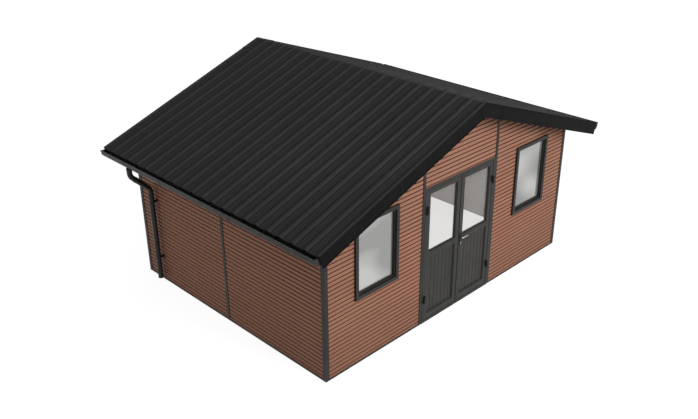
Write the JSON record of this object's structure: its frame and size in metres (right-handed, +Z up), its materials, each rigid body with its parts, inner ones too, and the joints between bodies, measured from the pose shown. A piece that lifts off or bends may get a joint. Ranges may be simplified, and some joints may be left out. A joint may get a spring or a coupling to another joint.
{
  "type": "garden shed",
  "caption": "Garden shed with composite board walls, a ribbed gabled roof with gutters and downpipes, fixed windows and a glazed double door that opens outwards.",
  "frame": {"origin": "on the ground, below the middle of the roof's outline, at the bottom centre of the bounding box", "axes": "+Z up, -Y towards the gable with the double door, X across the gables, Y along the ridge"},
  "size_m": [5.836, 4.44, 3.0641],
  "materials": {
    "frame_metal": "fine matt anthracite powder coat on aluminium",
    "wall_board": "reddish-brown wood composite, brushed, with a streaked grain",
    "door_metal": "satin dark grey paint",
    "glazing": "clear double glazing",
    "hinge_metal": "matt black",
    "handle_metal": "satin steel",
    "roof_timber": "planed softwood",
    "roof_metal": "matt black coated steel",
    "trim_metal": "matt black coated steel",
    "gutter_metal": "satin anthracite aluminium"
  },
  "bodies": {
    "shed": {"base_rails": "frame_metal", "door_threshold": "frame_metal", "corner_post_front_left": "frame_metal", "corner_post_front_right": "frame_metal", "corner_post_rear_left": "frame_metal", "corner_post_rear_right": "frame_metal", "door_posts": "frame_metal", "side_posts": "frame_metal", "rear_posts": "frame_metal", "front_wall_left": "wall_board", "front_wall_right": "wall_board", "front_wall_over_door": "wall_board", "left_wall_front": "wall_board", "left_wall_rear": "wall_board", "right_wall_front": "wall_board", "right_wall_rear": "wall_board", "rear_wall_left": "wall_board", "rear_wall_centre": "wall_board", "rear_wall_right": "wall_board", "window_frame_left": "frame_metal", "window_frame_right": "frame_metal", "window_glass_left": "glazing", "window_glass_right": "glazing", "door_jamb_left": "frame_metal", "door_jamb_right": "frame_metal", "door_head": "frame_metal", "jamb_hinges": "hinge_metal", "ridge_beam": "roof_timber", "roof_purlins": "roof_timber", "roof_sheet_left": "roof_metal", "roof_sheet_right": "roof_metal", "ridge_cap": "roof_metal", "bargeboard_front_left": "trim_metal", "bargeboard_front_right": "trim_metal", "bargeboard_rear_left": "trim_metal", "bargeboard_rear_right": "trim_metal", "fascia_boards": "trim_metal", "gutter_left": "gutter_metal", "gutter_right": "gutter_metal", "downpipe_left": "gutter_metal", "downpipe_right": "gutter_metal"},
    "left_leaf": {"door_leaf_left": "door_metal", "door_panel_left": "door_metal", "door_glass_left": "glazing", "leaf_hinges_left": "hinge_metal"},
    "right_leaf": {"door_leaf_right": "door_metal", "door_panel_right": "door_metal", "door_glass_right": "glazing", "leaf_hinges_right": "hinge_metal", "handle_plates": "hinge_metal"},
    "lever": {"handle_lever": "handle_metal"}
  },
  "joints": [
    {"name": "left_leaf_hinge", "type": "hinge", "parent": "shed", "child": "left_leaf", "pos_m": [-0.69, -1.928, 1], "axis": [0, 0, -1], "range_deg": [0, 105]},
    {"name": "right_leaf_hinge", "type": "hinge", "parent": "shed", "child": "right_leaf", "pos_m": [0.69, -1.928, 1], "axis": [0, 0, 1], "range_deg": [0, 105]},
    {"name": "lever_turn", "type": "hinge", "parent": "right_leaf", "child": "lever", "pos_m": [0.041, -1.91, 1.051], "axis": [0, 1, 0], "range_deg": [0, 40], "stiffness_Nm_per_rad": 1.5, "springref_deg": -20.05}
  ]
}
